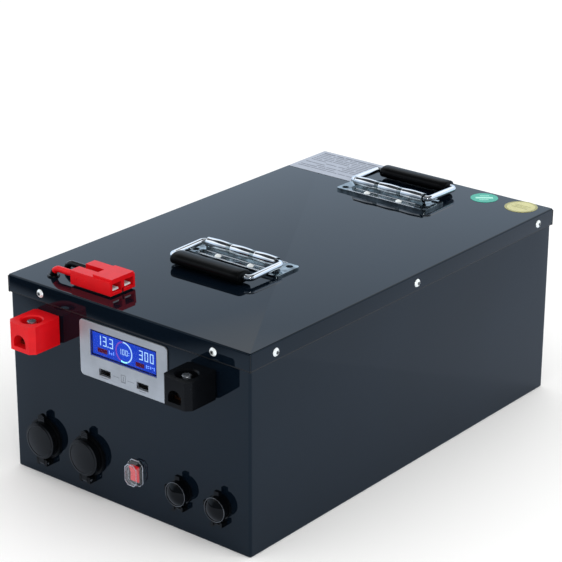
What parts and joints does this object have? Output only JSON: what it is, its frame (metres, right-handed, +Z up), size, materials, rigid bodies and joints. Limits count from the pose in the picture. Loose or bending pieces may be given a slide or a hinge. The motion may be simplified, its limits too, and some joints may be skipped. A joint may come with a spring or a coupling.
{
  "type": "deep cycle battery",
  "caption": "Battery in a glossy black folded steel box: lid with folding carry handles and a red charging connector, front with bolt terminals, display, capped outlets and rocker switch.",
  "frame": {"origin": "centre of the case underside, on the surface it stands on", "axes": "+Z up, -Y out of the front face with the display and outlets, +X to the right when looking at the front"},
  "size_m": [0.284, 0.4926, 0.2045],
  "materials": {
    "black_paint": "gloss",
    "chrome": "polished",
    "zinc_steel": "satin",
    "brushed_plate": "brushed",
    "copper": "satin",
    "gold_contact": "polished",
    "red_plastic": "gloss",
    "black_plastic": "gloss",
    "matte_black": "matte",
    "rubber_black": "satin",
    "foam_grey": "matte",
    "clear_window": "clear",
    "clear_boot": "clear",
    "lcd": "gloss",
    "circuit_green": "satin",
    "cell_film": "gloss",
    "silver_label": "satin",
    "green_vinyl": "gloss",
    "gold_vinyl": "gloss"
  },
  "bodies": {
    "case": {"case_tub": "black_paint", "lid": "black_paint", "lid_seal": "foam_grey", "lid_screws": "chrome", "lid_weld_nuts": "zinc_steel", "front_handle_plate": "chrome", "rear_handle_plate": "chrome", "handle_rivets": "chrome", "positive_terminal_block": "red_plastic", "negative_terminal_block": "black_plastic", "terminal_busbars": "copper", "terminal_studs": "zinc_steel", "terminal_washers": "zinc_steel", "terminal_nuts": "zinc_steel", "terminal_block_screws": "zinc_steel", "display_faceplate": "brushed_plate", "display_window": "clear_window", "display_screen": "lcd", "display_board": "circuit_green", "display_housing": "matte_black", "usb_ports": "zinc_steel", "usb_tongues": "matte_black", "left_socket_body": "matte_black", "right_socket_body": "matte_black", "socket_sleeves": "zinc_steel", "socket_contacts": "gold_contact", "cap_hinge_pins": "zinc_steel", "left_dc_socket": "black_plastic", "right_dc_socket": "black_plastic", "dc_socket_pins": "gold_contact", "panel_nuts": "matte_black", "switch_body": "matte_black", "switch_boot": "clear_boot", "connector_housing": "red_plastic", "connector_contacts": "zinc_steel", "connector_red_lead": "red_plastic", "connector_black_lead": "rubber_black", "lead_grommets": "rubber_black", "cell_1": "cell_film", "cell_2": "cell_film", "cell_3": "cell_film", "cell_4": "cell_film", "cell_busbars": "copper", "cell_nuts": "zinc_steel", "pack_frame": "zinc_steel", "foam_pads": "foam_grey", "bms_module": "zinc_steel", "power_cables": "rubber_black", "info_label": "silver_label", "green_sticker": "green_vinyl", "gold_sticker": "gold_vinyl"},
    "front_handle": {"front_handle_bail": "chrome", "front_handle_grip": "rubber_black"},
    "rear_handle": {"rear_handle_bail": "chrome", "rear_handle_grip": "rubber_black"},
    "left_socket_lid": {"left_socket_cap": "black_plastic"},
    "right_socket_lid": {"right_socket_cap": "black_plastic"},
    "left_dc_lid": {"left_dc_cap": "rubber_black"},
    "right_dc_lid": {"right_dc_cap": "rubber_black"},
    "rocker": {"switch_rocker": "red_plastic"}
  },
  "joints": [
    {"name": "front_handle_swing", "type": "hinge", "parent": "case", "child": "front_handle", "pos_m": [0, -0.0695, 0.1955], "axis": [-1, 0, 0], "range_deg": [0, 180]},
    {"name": "rear_handle_swing", "type": "hinge", "parent": "case", "child": "rear_handle", "pos_m": [0, 0.1545, 0.1955], "axis": [1, 0, 0], "range_deg": [0, 180]},
    {"name": "left_socket_cap_swing", "type": "hinge", "parent": "case", "child": "left_socket_lid", "pos_m": [-0.1, -0.2324, 0.0175], "axis": [1, 0, 0], "range_deg": [0, 95]},
    {"name": "right_socket_cap_swing", "type": "hinge", "parent": "case", "child": "right_socket_lid", "pos_m": [-0.0465, -0.2324, 0.0175], "axis": [1, 0, 0], "range_deg": [0, 95]},
    {"name": "left_dc_cap_swing", "type": "hinge", "parent": "case", "child": "left_dc_lid", "pos_m": [0.0625, -0.2312, 0.0245], "axis": [1, 0, 0], "range_deg": [0, 95]},
    {"name": "right_dc_cap_swing", "type": "hinge", "parent": "case", "child": "right_dc_lid", "pos_m": [0.1065, -0.2312, 0.0245], "axis": [1, 0, 0], "range_deg": [0, 95]},
    {"name": "switch_rock", "type": "hinge", "parent": "case", "child": "rocker", "pos_m": [0.009, -0.2256, 0.039], "axis": [-1, 0, 0], "range_deg": [0, 16]}
  ]
}
